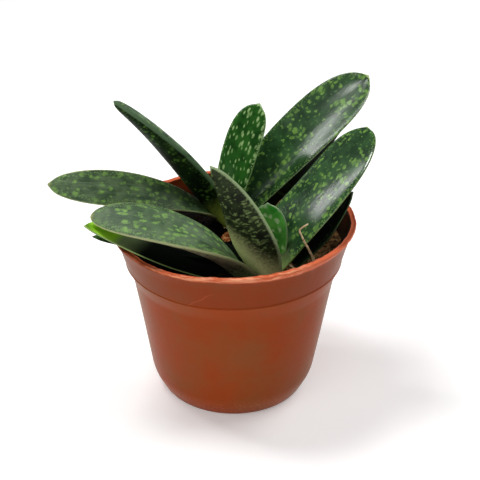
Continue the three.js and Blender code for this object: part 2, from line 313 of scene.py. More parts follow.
class Sketch:
    """Draws a material's nodes: each method adds nodes and gives back the socket that comes out."""

    def __init__(self, name: str) -> None:
        """Starts an empty material with that name."""
        self.material = bpy.data.materials.new(name)
        self.material.use_nodes = True
        self.tree = self.material.node_tree
        self.tree.nodes.clear()

    def add(self, kind: str, inputs: dict[Any, Wire], **settings: Any) -> bpy.types.Node:
        """Adds a node.

        Args:
            kind: The node's type, without the word ShaderNode.
            inputs: What goes into its sockets, by name or number.
            settings: The node's own values.

        Returns:
            The node.
        """
        node = self.tree.nodes.new("ShaderNode" + kind)
        for key, value in settings.items():
            setattr(node, key, value)
        for key, value in inputs.items():
            if isinstance(value, bpy.types.NodeSocket):
                self.tree.links.new(value, node.inputs[key])
            else:
                node.inputs[key].default_value = value
        return node

    def math(self, operation: str, *values: Wire) -> Wire:
        """A sum, product or other math of one to three values."""
        return self.add("Math", dict(enumerate(values)), operation=operation).outputs[0]

    def times(self, product: Wire, *others: Wire) -> Wire:
        """The product of some values."""
        for other in others:
            product = self.math("MULTIPLY", product, other)
        return product

    def paint(self, colour: Wire, *layers: tuple[Wire, Colour]) -> Wire:
        """Lays colours over a ground.

        Args:
            colour: The ground's colour.
            layers: For each layer, where it covers what is under it, 0 to 1, and its colour.

        Returns:
            The colour on top.
        """
        for cover, over in layers:
            inputs = {0: cover, 6: colour, 7: over}
            colour = self.add("Mix", inputs, data_type="RGBA").outputs[2]
        return colour

    def step(self, value: Wire, low: Wire, high: Wire, top: Wire = 1.0) -> Wire:
        """0 on low's side, top on high's side, and an easy slope between."""
        inputs = {0: value, 1: low, 2: high, 4: top}
        return self.add("MapRange", inputs, interpolation_type="SMOOTHSTEP").outputs[0]

    def scaled(self, vector: Wire, scale: Point, shift: Point = (0, 0, 0)) -> Wire:
        """A vector with each part multiplied and moved."""
        inputs = {0: vector, 1: scale, 2: shift}
        return self.add("VectorMath", inputs, operation="MULTIPLY_ADD").outputs[0]

    def noise(self, vector: Wire, scale: float, detail: float = 2.0, rough_share: float = 0.5,
              out: int = 0) -> Wire:
        """Smooth random values about 0.5.

        Args:
            vector: The place that they are read at.
            scale: Bumps per unit of the place.
            detail: How many finer sets of bumps are added.
            rough_share: How strong each finer set is, 0 to 1.
            out: 0 for one value, 1 for three as a vector.

        Returns:
            The values.
        """
        inputs = {"Vector": vector, "Scale": scale, "Detail": detail, "Roughness": rough_share}
        return self.add("TexNoise", inputs).outputs[out]

    def stored(self, name: str, out: str = "Fac") -> Wire:
        """What is stored on the piece's corners by that name."""
        return self.add("Attribute", {}, attribute_name=name).outputs[out]

    def object_mm(self) -> Wire:
        """The place on the piece, in millimetres."""
        place = self.add("TexCoord", {}).outputs["Object"]
        return self.scaled(place, (1 / MM,) * 3)

    def axes(self, vector: Wire) -> tuple[Wire, Wire, Wire]:
        """The three parts of a vector."""
        out = self.add("SeparateXYZ", {0: vector}).outputs
        return out[0], out[1], out[2]

    def surface(self, colour: Wire, roughness: Wire, height: Wire, depth: float,
                **fixed: Any) -> bpy.types.Material:
        """Ends the sketch in a Principled surface with a bump.

        Args:
            colour: The base colour.
            roughness: The roughness.
            height: The bump's height, 0 to 1.
            depth: The bump's depth, in millimetres.
            fixed: Sockets set to one value all over, with _ for the spaces in their names.

        Returns:
            The material.
        """
        bump = self.add("Bump", {"Strength": 1.0, "Distance": depth * MM, "Height": height})
        inputs = {"Base Color": colour, "Roughness": roughness, "Normal": bump.outputs[0]}
        inputs.update({key.replace("_", " "): value for key, value in fixed.items()})
        shader = self.add("BsdfPrincipled", inputs)
        self.add("OutputMaterial", {"Surface": shader.outputs[0]})
        return self.material


@dataclass(frozen=True)
class Skin:
    """The colours and flecks of one face of a leaf. Lengths are millimetres, along and across."""

    deep: Colour
    pale: Colour
    fleck: Colour
    spacing: Span = (3.4, 3.1)
    size: float = 0.32              # a fleck's radius over the spacing
    group: Span = (7.0, 9.0)
    merge: float = 0.3              # how much the flecks grow and run together inside a group
    warp: float = 4.5               # how far the flecks are pulled out of round
    softness: float = 0.24
    ragged: float = 0.4             # how uneven a fleck's outline is
    strength: float = 0.85
    faint: float = 0.45             # how much weaker the faintest flecks are
    streak: float = 0.2             # lengthwise pale streaks
    dots: float = 0.6               # fine dots near the margins
    dots_reach: float = 4.0
    roughness: float = 0.17
    shine: float = 0.6              # how strongly it mirrors, 0.5 for plain plastic

    cloud_scale: float = 0.13       # bumps per millimetre, here and in the other scales
    cloud_edge: Span = (0.3, 0.72)  # the noise where it starts and is full, here and in the others
    streak_stretch: Point = (0.06, 1.1, 1)
    streak_edge: Span = (0.5, 0.72)
    warp_scale: float = 0.3
    group_edge: Span = (0.4, 0.62)
    faint_scale: float = 0.45
    faint_edge: Span = (0.62, 0.38)
    cell_blur: float = 0.35         # how softly the flecks' cells meet
    cell_scatter: float = 0.9       # how far the flecks are from a regular grid
    dot_scale: float = 0.75
    dot_edge: Span = (0.34, 0.16)
    dots_full: float = 0.4          # share of their reach where the dots are full

    def colour(self, sketch: Sketch, blade: Wire, edge: Wire, seed: float) -> tuple[Wire, Wire]:
        """Draws the skin.

        Args:
            sketch: The material's sketch.
            blade: The place on the leaf: millimetres along it and across it.
            edge: The distance to the nearest margin, in millimetres.
            seed: Shifts the pattern.

        Returns:
            The colour, and where the flecks are, 0 to 1.
        """
        flat = sketch.scaled(blade, (1, 1, 0), (seed * 31, seed * 17, seed))
        cloud = sketch.noise(flat, self.cloud_scale, 3.0, 0.6)
        fibres = sketch.noise(sketch.scaled(flat, self.streak_stretch), 1.0, 3.0, 0.65)
        pull = sketch.noise(flat, self.warp_scale, out=1)
        pulled = sketch.scaled(pull, (self.warp, self.warp, 0), flat)
        long, wide = self.group
        groups = sketch.noise(sketch.scaled(flat, (1 / long, 1 / wide, 1)), 1.0, 1.0)
        grown = sketch.step(groups, *self.group_edge, self.merge)
        radius = sketch.math("ADD", grown, self.size - self.merge / 2)
        inner = sketch.math("SUBTRACT", radius, self.softness)
        uneven = sketch.math("MULTIPLY_ADD", sketch.noise(flat, 1.0, 3.0, 0.6), self.ragged,
                             -self.ragged / 2)
        distance = sketch.math("ADD", self.distance_to_fleck(sketch, pulled), uneven)
        fading = sketch.noise(flat, self.faint_scale, 1.0)
        weaker = sketch.step(fading, *self.faint_edge, self.faint)
        top = sketch.math("SUBTRACT", self.strength, weaker)
        flecks = sketch.times(sketch.step(distance, radius, inner), top)
        dots = sketch.add("TexVoronoi", {"Vector": flat, "Scale": self.dot_scale},
                          voronoi_dimensions="2D").outputs["Distance"]
        near = sketch.step(edge, self.dots_reach, self.dots_reach * self.dots_full, self.dots)
        dots = sketch.times(sketch.step(dots, *self.dot_edge), near)
        marks = sketch.math("MAXIMUM", flecks, dots)
        streaks = sketch.step(fibres, *self.streak_edge, self.streak)
        colour = sketch.paint(self.deep, (sketch.step(cloud, *self.cloud_edge), self.pale),
                              (streaks, self.pale), (marks, self.fleck))
        return colour, marks

    def distance_to_fleck(self, sketch: Sketch, place: Wire) -> Wire:
        """The distance from a place on the leaf to the nearest fleck's middle, over the spacing."""
        along, across = self.spacing
        inputs = {"Vector": sketch.scaled(place, (1 / along, 1 / across, 0)), "Scale": 1.0,
                  "Smoothness": self.cell_blur, "Randomness": self.cell_scatter}
        return sketch.add("TexVoronoi", inputs, voronoi_dimensions="2D",
                          feature="SMOOTH_F1").outputs["Distance"]


@dataclass(frozen=True)
class LeafFinish:
    """How one kind of leaf looks: its two faces, its margin, its pale base, its tip and the painted
    shade away from its tip.
    """

    upper: Skin
    lower: Skin
    margin: Colour
    margin_width: float = 0.55
    sheath: Colour = srgb(140, 160, 100)
    sheath_end: float = 14.0        # how far up the leaf the pale base reaches
    sheath_lean: float = 0.0        # how much further up it reaches at the left margin
    tip: Colour = srgb(120, 150, 80)
    tip_length: float = 2.0
    wrinkle: float = 0.2            # depth of the bump, in millimetres
    teeth: float = 0.6              # how broken the pale margin is
    left_only: bool = False         # whether only the left margin is pale
    painted_shade: Colour = srgb(8, 14, 6)   # painted shade that the leaf turns to away from its tip
    painted_shade_starts: Span = NOWHERE     # how far from the tip it starts and is full
    painted_shade_lean: float = 0.0          # how much nearer to the tip it starts at the left margin
    painted_deep_shade: Colour = srgb(6, 14, 6)  # painted deeper shade still further away from the tip
    painted_deep_shade_starts: Span = NOWHERE

    fringe_scale: float = 0.9       # bumps per millimetre, here and in the other scales
    fringe_reach: float = 9.0       # how uneven the end of the pale base is
    sheath_full: float = 0.45       # share of its reach where the pale base is full
    tip_edge: Span = (0.6, 0.3)     # how far past its length the tip's colour ends, and is full
    teeth_scale: float = 1.4
    left_edge: Span = (-3.0, 1.0)   # where across the leaf a left margin starts and is full
    margin_full: float = 0.3        # share of its width where the margin is full
    fibre_stretch: Point = (0.09, 0.9, 0)
    pebble_scale: float = 1.6
    pebble_height: float = 0.3      # heights over the depth of the bump
    fleck_height: float = 0.12
    gloss_range: float = 0.08

    def material(self, name: str, skin: Skin, seed: float) -> bpy.types.Material:
        """The material of one face of the leaf, which reads the blade's own attributes.

        Args:
            name: The material's name.
            skin: The face's colours and flecks.
            seed: Shifts the flecks, so that no two leaves are alike.

        Returns:
            The material.
        """
        sketch = Sketch(name)
        blade, to_tip = sketch.stored("blade", "Vector"), sketch.stored("to_tip")
        flat = sketch.scaled(blade, (1, 1, 0))
        along, across, edge = sketch.axes(blade)
        colour, marks = skin.colour(sketch, blade, edge, seed)
        fringe = sketch.noise(flat, self.fringe_scale)
        reach = sketch.math("MULTIPLY_ADD", fringe, self.fringe_reach, along)
        reach = sketch.math("MULTIPLY_ADD", across, -self.sheath_lean, reach)
        base = sketch.step(reach, self.sheath_end + self.fringe_reach,
                           self.sheath_end * self.sheath_full)
        outer, inner = self.tip_edge
        end = sketch.step(sketch.math("ADD", to_tip, fringe), self.tip_length + outer, inner)
        away = sketch.math("MULTIPLY_ADD", across, self.painted_shade_lean, to_tip)
        teeth = sketch.noise(sketch.scaled(blade, (1, 0, 0)), self.teeth_scale, 1.0)
        width = sketch.math("MULTIPLY_ADD", teeth, self.teeth, 1 - self.teeth / 2)
        width = sketch.times(width, self.margin_width)
        if self.left_only:
            width = sketch.times(width, sketch.step(across, *self.left_edge))
        rim = sketch.step(edge, width, sketch.times(width, self.margin_full))
        colour = sketch.paint(colour, (base, self.sheath), (end, self.tip),
                              # painted shade over the part of the leaf away from its tip, deeper
                              # further on
                              (sketch.step(away, *self.painted_shade_starts), self.painted_shade),
                              (sketch.step(away, *self.painted_deep_shade_starts), self.painted_deep_shade),
                              (rim, self.margin))
        fibres = sketch.noise(sketch.scaled(blade, self.fibre_stretch), 1.0, 4.0, 0.6)
        pebbles = sketch.noise(flat, self.pebble_scale)
        height = sketch.math("MULTIPLY_ADD", pebbles, self.pebble_height, fibres)
        height = sketch.math("MULTIPLY_ADD", marks, self.fleck_height, height)
        gloss = sketch.math("MULTIPLY_ADD", pebbles, self.gloss_range,
                            skin.roughness - self.gloss_range / 2)
        return sketch.surface(colour, gloss, height, self.wrinkle, Specular_IOR_Level=skin.shine)


class LeafKind(Enum):
    """The kinds of leaf on the two plants."""

    BROAD = LeafFinish(
        upper=Skin(deep=srgb(23, 53, 25), pale=srgb(51, 88, 48), fleck=srgb(120, 164, 72)),
        lower=Skin(deep=srgb(6, 14, 6), pale=srgb(14, 24, 12), fleck=srgb(50, 76, 36), size=0.2,
                   strength=0.5, dots=0.0, roughness=0.7, shine=0.05),
        margin=srgb(136, 160, 86), wrinkle=0.05)
    # Lies under the leaves above it: its near-black base and its darkening from 14 mm behind its
    # tip are painted shade.
    LOWEST = LeafFinish(
        upper=Skin(deep=srgb(30, 66, 24), pale=srgb(62, 104, 48), fleck=srgb(96, 140, 60), size=0.2,
                   roughness=0.6, shine=0.05),
        lower=Skin(deep=srgb(6, 14, 6), pale=srgb(14, 24, 12), fleck=srgb(30, 46, 22), size=0.2,
                   roughness=0.7, shine=0.05),
        margin=srgb(20, 36, 16), sheath=srgb(12, 18, 8), painted_shade_starts=(14.0, 24.0))
    SHADED = LeafFinish(
        upper=Skin(deep=srgb(10, 18, 10), pale=srgb(20, 30, 20), fleck=srgb(48, 72, 36), size=0.2,
                   roughness=0.5, shine=0.1),
        lower=Skin(deep=srgb(8, 14, 8), pale=srgb(16, 26, 16), fleck=srgb(44, 64, 34), size=0.2,
                   roughness=0.7, shine=0.05),
        margin=srgb(60, 82, 46), sheath=srgb(34, 44, 26), sheath_end=6)
    YOUNG = LeafFinish(
        upper=Skin(deep=srgb(14, 54, 10), pale=srgb(40, 92, 28), fleck=srgb(158, 192, 124),
                   spacing=(5.0, 2.5), size=0.3, group=(9, 5), merge=0.16, warp=1.2, ragged=0.2,
                   softness=0.22, faint=0.4, dots=0.7, dots_reach=2.2, shine=0.25),
        lower=Skin(deep=srgb(12, 44, 14), pale=srgb(36, 76, 30), fleck=srgb(110, 150, 84),
                   spacing=(5.2, 3), size=0.3, warp=2.0, roughness=0.5, shine=0.1),
        margin=srgb(120, 156, 92), margin_width=0.7, wrinkle=0.08)
    INNERMOST = LeafFinish(
        upper=Skin(deep=srgb(28, 140, 36), pale=srgb(104, 200, 84), fleck=srgb(214, 240, 200),
                   spacing=(6.4, 4.6), size=0.3, merge=0.1, ragged=0.3, faint=0.2, dots=0.0,
                   streak=0.1, warp=2.0),
        lower=Skin(deep=srgb(20, 74, 30), pale=srgb(44, 104, 48), fleck=srgb(130, 170, 100)),
        margin=srgb(150, 186, 134), margin_width=1.1, sheath=srgb(140, 172, 84), sheath_end=10)
    DARK_BACK = LeafFinish(
        upper=Skin(deep=srgb(60, 88, 60), pale=srgb(104, 128, 96), fleck=srgb(120, 156, 96)),
        lower=Skin(deep=srgb(8, 16, 6), pale=srgb(40, 52, 26), fleck=srgb(122, 144, 88),
                   spacing=(1.7, 4.2), size=0.34, group=(4, 10), merge=0.3, streak=0.3, dots=0.1,
                   ragged=0.8, warp=4.0, strength=0.75, roughness=0.5, shine=0.12),
        margin=srgb(156, 178, 130), margin_width=1.5, teeth=1.0, sheath=srgb(242, 248, 176),
        sheath_end=25, sheath_lean=-1.2, left_only=True)
    UPRIGHT_BACK = LeafFinish(
        upper=Skin(deep=srgb(40, 66, 38), pale=srgb(100, 128, 94), fleck=srgb(112, 142, 88),
                   streak=0.6, roughness=0.4, shine=0.15),
        lower=Skin(deep=srgb(6, 20, 6), pale=srgb(24, 44, 16), fleck=srgb(84, 122, 50),
                   spacing=(3.1, 2.7), size=0.24, group=(8, 8), merge=0.3, warp=2.4, dots=0.3,
                   dots_reach=3, roughness=0.55, shine=0.08),
        margin=srgb(92, 120, 86), margin_width=0.5, sheath=srgb(160, 184, 78), sheath_end=22)
    LEATHERY = LeafFinish(
        upper=Skin(deep=srgb(48, 74, 46), pale=srgb(94, 118, 82), fleck=srgb(128, 172, 82),
                   spacing=(4.8, 3.2), size=0.33, group=(8, 10), merge=0.22, streak=0.6,
                   warp=3.2, ragged=0.5, dots=0.5, dots_reach=5, roughness=0.44, shine=0.3),
        lower=Skin(deep=srgb(62, 66, 48), pale=srgb(136, 128, 104), fleck=srgb(126, 136, 92),
                   streak=0.7, size=0.2, roughness=0.6, shine=0.1),
        margin=srgb(164, 172, 122), margin_width=0.8, sheath=srgb(110, 142, 80), sheath_end=10,
        tip=srgb(160, 160, 92), tip_length=3, wrinkle=0.4)
    # Lit only near its tip: the grey-green band, the near-black beyond it and the near-black base
    # are a painted shadow of the leaf above it.
    LIME_TIP = LeafFinish(
        upper=Skin(deep=srgb(140, 212, 30), pale=srgb(164, 230, 56), fleck=srgb(190, 236, 96),
                   spacing=(2.6, 2.2), size=0.2, merge=0.14, dots=0.8, roughness=0.6, shine=0.03),
        lower=Skin(deep=srgb(24, 40, 14), pale=srgb(44, 62, 22), fleck=srgb(80, 104, 44),
                   roughness=0.6, shine=0.05),
        margin=srgb(150, 176, 108), margin_width=0.9, tip=srgb(60, 104, 24), tip_length=7,
        painted_shade=srgb(128, 150, 104), sheath=srgb(4, 8, 3), sheath_end=30, painted_shade_starts=(17.0, 23.0),
        painted_shade_lean=0.6, painted_deep_shade_starts=(22.0, 37.0), left_only=True)


# Leaves

@dataclass
class Leaf:
    """One leaf: modelled straight, then laid along the curve that it grew in.

    Azimuth and elevation are the spine's direction at the base and at the tip, and roll turns the
    blade about it and lifts its left margin, all in degrees.
    """

    name: str
    slot: str
    kind: LeafKind
    base: Point
    azimuth: Span
    elevation: Span
    roll: Span
    length: float
    width: float
    thickness: float
    base_share: float = 0.55        # width at the base over the full width
    widest_at: float = 0.55         # share of the length at the widest place
    tip_power: float = 2.6          # how full the tip is
    bend: float = 1.0               # below 1, more of the turn is near the base
    upper_share: float = 0.35       # of the thickness, above the blade's middle surface
    sway: float = 0.0               # how far the tip bends over towards the left margin
    channel: float = 0.06           # how far the margins rise along the blade, over the half width
    wrinkles: float = 0.05          # depth of the lengthwise folds
    keel: float = 0.0               # how far the ridge under the right margin stands down
    crown: float = 0.0              # how far the blade's middle bulges up, or sinks if negative

    mucro: float = 1.6              # length of the small point at the tip
    keel_at: float = -0.866         # shares of the half width, this and the next
    keel_reach: float = 0.45
    keel_rises: Span = (0.07, 0.18)
    keel_ends: Span = (0.56, 0.74)
    base_channel: float = 0.45
    channel_fades: float = 0.5
    base_thickness: float = 1.1
    tip_thickness: float = 0.75
    slimmest: float = 0.2           # the half width and thickness count as at least this
    stations: int = 26
    crowding: float = 1.5           # above 1, the rings are closer together near the tip
    ring: int = 20
    rounding: int = 2
    spine_steps: int = 400
    back_shift: float = 5.3         # between the seeds of the two faces' flecks

    def outline(self, share: np.ndarray) -> np.ndarray:
        """Half the blade's width over half the full width, at shares of its length."""
        quarter = np.clip(share / self.widest_at, 0, 1) * math.pi / 2
        rising = lerp(self.base_share, 1, np.sin(quarter))
        past = np.clip((share - self.widest_at) / (1 - self.widest_at), 0, 1)
        closing = np.sqrt(1 - past ** self.tip_power)
        return np.where(share < self.widest_at, rising, closing)

    def section(self, share: np.ndarray) -> tuple[np.ndarray, np.ndarray]:
        """Half the width and the thickness, in millimetres, at shares of the length."""
        outline = self.outline(share)
        taper = lerp(self.base_thickness, self.tip_thickness, share)
        return self.width / 2 * outline, self.thickness * taper * np.sqrt(outline)

    def directions(self, share: np.ndarray) -> tuple[np.ndarray, np.ndarray, np.ndarray]:
        """The way along the leaf, to its left and up from its upper face, one row each."""
        turn = share ** self.bend
        azimuth = np.radians(lerp(*self.azimuth, turn))
        elevation = np.radians(lerp(*self.elevation, turn))
        roll = np.radians(lerp(*self.roll, share))[:, None]
        level = np.cos(elevation)
        along = np.stack([level * np.cos(azimuth), level * np.sin(azimuth), np.sin(elevation)], 1)
        flat_left = np.stack([-np.sin(azimuth), np.cos(azimuth), 0 * azimuth], 1)
        left = flat_left * np.cos(roll) + np.cross(along, flat_left) * np.sin(roll)
        return along, left, np.cross(along, left)

    def model_straight(self) -> bpy.types.Object:
        """Models the leaf straight along +X, ring by ring from a circle.

        Returns:
            The rounded mesh.
        """
        steps = np.arange(self.stations + 1) / (self.stations + 1)
        shares = 1 - (1 - steps) ** self.crowding
        halves, thicks = self.section(shares)
        leaf = new_shape(bpy.ops.mesh.primitive_circle_add, vertices=self.ring,
                         radius=halves[0] * MM, fill_type="NGON", rotation=(0, math.pi / 2, 0))
        with editing(leaf):
            for side, share in ((1, self.upper_share), (-1, 1 - self.upper_share)):
                pick(leaf, lambda at: at.z * side > 1e-4)
                flatten = (1, 1, share * thicks[0] / halves[0])
                bpy.ops.transform.resize(value=flatten, center_override=(0, 0, 0))
            select_faces()
            for i in range(1, len(shares)):
                ahead = ((shares[i] - shares[i - 1]) * self.length * MM, 0, 0)
                bpy.ops.mesh.extrude_region_move(TRANSFORM_OT_translate={"value": ahead})
                size = (1, halves[i] / halves[i - 1], thicks[i] / thicks[i - 1])
                centre = (shares[i] * self.length * MM, 0, 0)
                bpy.ops.transform.resize(value=size, center_override=centre)
            point = ((1 - shares[-1]) * self.length + self.mucro) * MM
            bpy.ops.mesh.extrude_region_move(TRANSFORM_OT_translate={"value": (point, 0, 0)})
            bpy.ops.mesh.merge(type="CENTER")
            face_outward()
        use_modifier(leaf, "SUBSURF", levels=self.rounding, render_levels=self.rounding)
        return leaf

    def ridge(self, share: np.ndarray, across: np.ndarray, outward: np.ndarray) -> np.ndarray:
        """How far the keel pushes the underside down, in millimetres.

        Args:
            share: Shares of the length.
            across: Shares of the half width, positive to the left.
            outward: 1 on the upper face's crest, -1 on the lower one's.

        Returns:
            One depth each.
        """
        lengthwise = smooth_step(share, *self.keel_rises) - smooth_step(share, *self.keel_ends)
        near = np.maximum(0, 1 - np.abs(across - self.keel_at) / self.keel_reach)
        return self.keel * lengthwise * near * smooth_step(-outward, 0, 0.12)

    def mark_blade(self, leaf: bpy.types.Object, flat: np.ndarray, ridge: np.ndarray) -> None:
        """Stores each point's place on the blade for the material.

        Args:
            leaf: The straight leaf.
            flat: Its corners, in millimetres.
            ridge: How far the keel pushes each of them down.
        """
        share = np.clip(flat[:, 0] / self.length, 0, 1)
        half = np.maximum(self.section(share)[0], self.slimmest)
        edge = half - np.minimum(np.abs(flat[:, 1]), half) + ridge
        store(leaf, "blade", np.stack([flat[:, 0], flat[:, 1], edge], 1))
        store(leaf, "to_tip", self.length + self.mucro - flat[:, 0])

    def relief(self, flat: np.ndarray, seed: float) -> np.ndarray:
        """Lengthwise folds and shallow dents of the surface, in millimetres."""
        folds = rough(flat * (0.07, 1, 0.4), 1.9, self.wrinkles, seed)
        dents = rough(flat * (0.5, 1, 1), 7.0, self.wrinkles * 0.8 + 0.06, seed + 3)
        return folds + dents

    def lay_on_spine(self, leaf: bpy.types.Object, seed: float) -> None:
        """Bends, twists and channels the straight leaf into its place.

        Args:
            leaf: The straight leaf.
            seed: Shifts its folds and dents.
        """
        flat = points_of(leaf)
        share = np.clip(flat[:, 0] / self.length, 0, 1)
        half, thick = self.section(share)
        outward = np.clip(flat[:, 2] / np.maximum(thick, self.slimmest), -1, 1)
        across = np.clip(flat[:, 1] / np.maximum(half, self.slimmest), -1, 1)
        ridge = self.ridge(share, across, outward)
        self.mark_blade(leaf, flat, ridge)
        height = flat[:, 2] + self.relief(flat, seed) * outward * 2 - ridge
        faded = np.minimum(1, share / self.channel_fades)
        rise = lerp(self.base_channel, self.channel, faded) * half
        bulge = self.crown * (1 - across ** 2) * np.sqrt(half / self.width * 2)
        height = height + rise * (across ** 2 - 0.5) + bulge
        fine = np.linspace(0, 1, self.spine_steps + 1)
        middles = (fine[1:] + fine[:-1]) / 2
        steps = self.directions(middles)[0] * self.length / self.spine_steps
        spine = np.vstack([np.zeros(3), np.cumsum(steps, 0)]) + np.array(self.base)
        centre = np.stack([np.interp(share, fine, spine[:, i]) for i in range(3)], 1)
        along, left, up = self.directions(share)
        centre += left * (self.sway * share ** 2)[:, None]
        beyond = (flat[:, 0] - share * self.length)[:, None]
        move_points(leaf, centre + along * beyond + left * flat[:, 1:2] + up * height[:, None])

    def build(self, seed: float) -> None:
        """Models, bends and dresses the leaf.

        Args:
            seed: Shifts its flecks and folds.
        """
        leaf = self.model_straight()
        backs = [int(face.normal.z <= 0) for face in leaf.data.polygons]
        self.lay_on_spine(leaf, seed)
        smooth(leaf)
        finish = self.kind.value
        wear(leaf, finish.material(self.name, finish.upper, seed),
             finish.material(self.name + "_back", finish.lower, seed + self.back_shift))
        leaf.data.polygons.foreach_set("material_index", backs)
        finish_piece(leaf, self.name + "_blade", (self.name,))


FRONT_PLANT = [
    Leaf("front_leaf_inner_right", "leaf_young", LeafKind.INNERMOST, (18.9, -19.2, 75.4), (48, 55),
         (86, 110), (0.5, 20), 37.9, 16.8, 3.3, base_share=0.67, widest_at=0.58, tip_power=2.7),
    Leaf("front_leaf_inner_left", "leaf_dark", LeafKind.DARK_BACK, (15.2, -28.5, 77.1), (219, 181),
         (69, 47.7), (19, 62.8), 69.1, 23.8, 3.9, base_share=0.75, widest_at=0.29, tip_power=1.2,
         bend=2.16, sway=5.1),
    Leaf("front_leaf_middle_left", "leaf_grey", LeafKind.LEATHERY, (8, -31, 78), (198.7, 169.3),
         (63.8, -11), (19.2, -30), 86, 27, 7, base_share=0.5, widest_at=0.38, tip_power=2.1,
         bend=0.76, upper_share=0.31, sway=-2.8, mucro=0.5, wrinkles=0.3),
    Leaf("front_leaf_upper_right", "leaf_dark", LeafKind.BROAD, (16.4, -13, 80), (-6, 50),
         (54.8, 36.3), (33, -18), 82, 38, 5.5, base_share=0.86, widest_at=0.5, tip_power=2.9,
         bend=1.6, sway=6.5, crown=1.6, wrinkles=0.02, base_channel=0.2),
    Leaf("front_leaf_lower_left", "leaf_lime", LeafKind.LIME_TIP, (15.5, -30.5, 75.5), (164, 197.5),
         (17, 21), (-40, 0), 90, 27, 4, base_share=0.5, widest_at=0.59, tip_power=1.8, bend=0.93),
    Leaf("front_leaf_lower_right", "leaf_dark", LeafKind.SHADED, (24, -21, 77), (28, 19),
         (42, 46), (12, -9), 49, 22, 4.4, tip_power=1.6),
    Leaf("front_leaf_lowest_left", "leaf_dark", LeafKind.LOWEST, (13.7, -17.1, 78), (185, 187),
         (18, 7), (-8, -6), 82, 17, 2.4, base_share=0.5, tip_power=1.7),
]
REAR_PLANT = [
    Leaf("rear_leaf_centre", "leaf_young", LeafKind.YOUNG, (-4, 15.5, 79.5), (54.7, 34.4),
         (85.6, 56.4), (-10, 12.4), 65.8, 23.4, 4.4, widest_at=0.63, tip_power=3.1),
    Leaf("rear_leaf_upper_left", "leaf_grey", LeafKind.UPRIGHT_BACK, (-0.6, 18.4, 80.6),
         (202.3, 201), (56.3, 43.4), (33.9, 3.5), 100.3, 20.5, 10.4, base_share=0.4,
         widest_at=0.56, tip_power=1.1, bend=1.7, upper_share=0.42, sway=10.7),
    Leaf("rear_leaf_right", "leaf_dark", LeafKind.BROAD, (-6, 16.5, 80.5), (19, 19),
         (53, 34), (22, 22), 105, 32.5, 5.6, widest_at=0.61, tip_power=3, keel=8, crown=-2.3,
         base_channel=0.2, wrinkles=0.02),
    Leaf("rear_leaf_lower_left", "leaf_grey", LeafKind.LEATHERY, (-5.7, 21.8, 80.2), (232, 166.3),
         (42.7, 6.6), (-12.3, -66), 103.2, 18.2, 4, base_share=0.3, widest_at=0.68, tip_power=2.07,
         bend=1.25, upper_share=0.41, sway=10, wrinkles=0.34),
]


# Pot

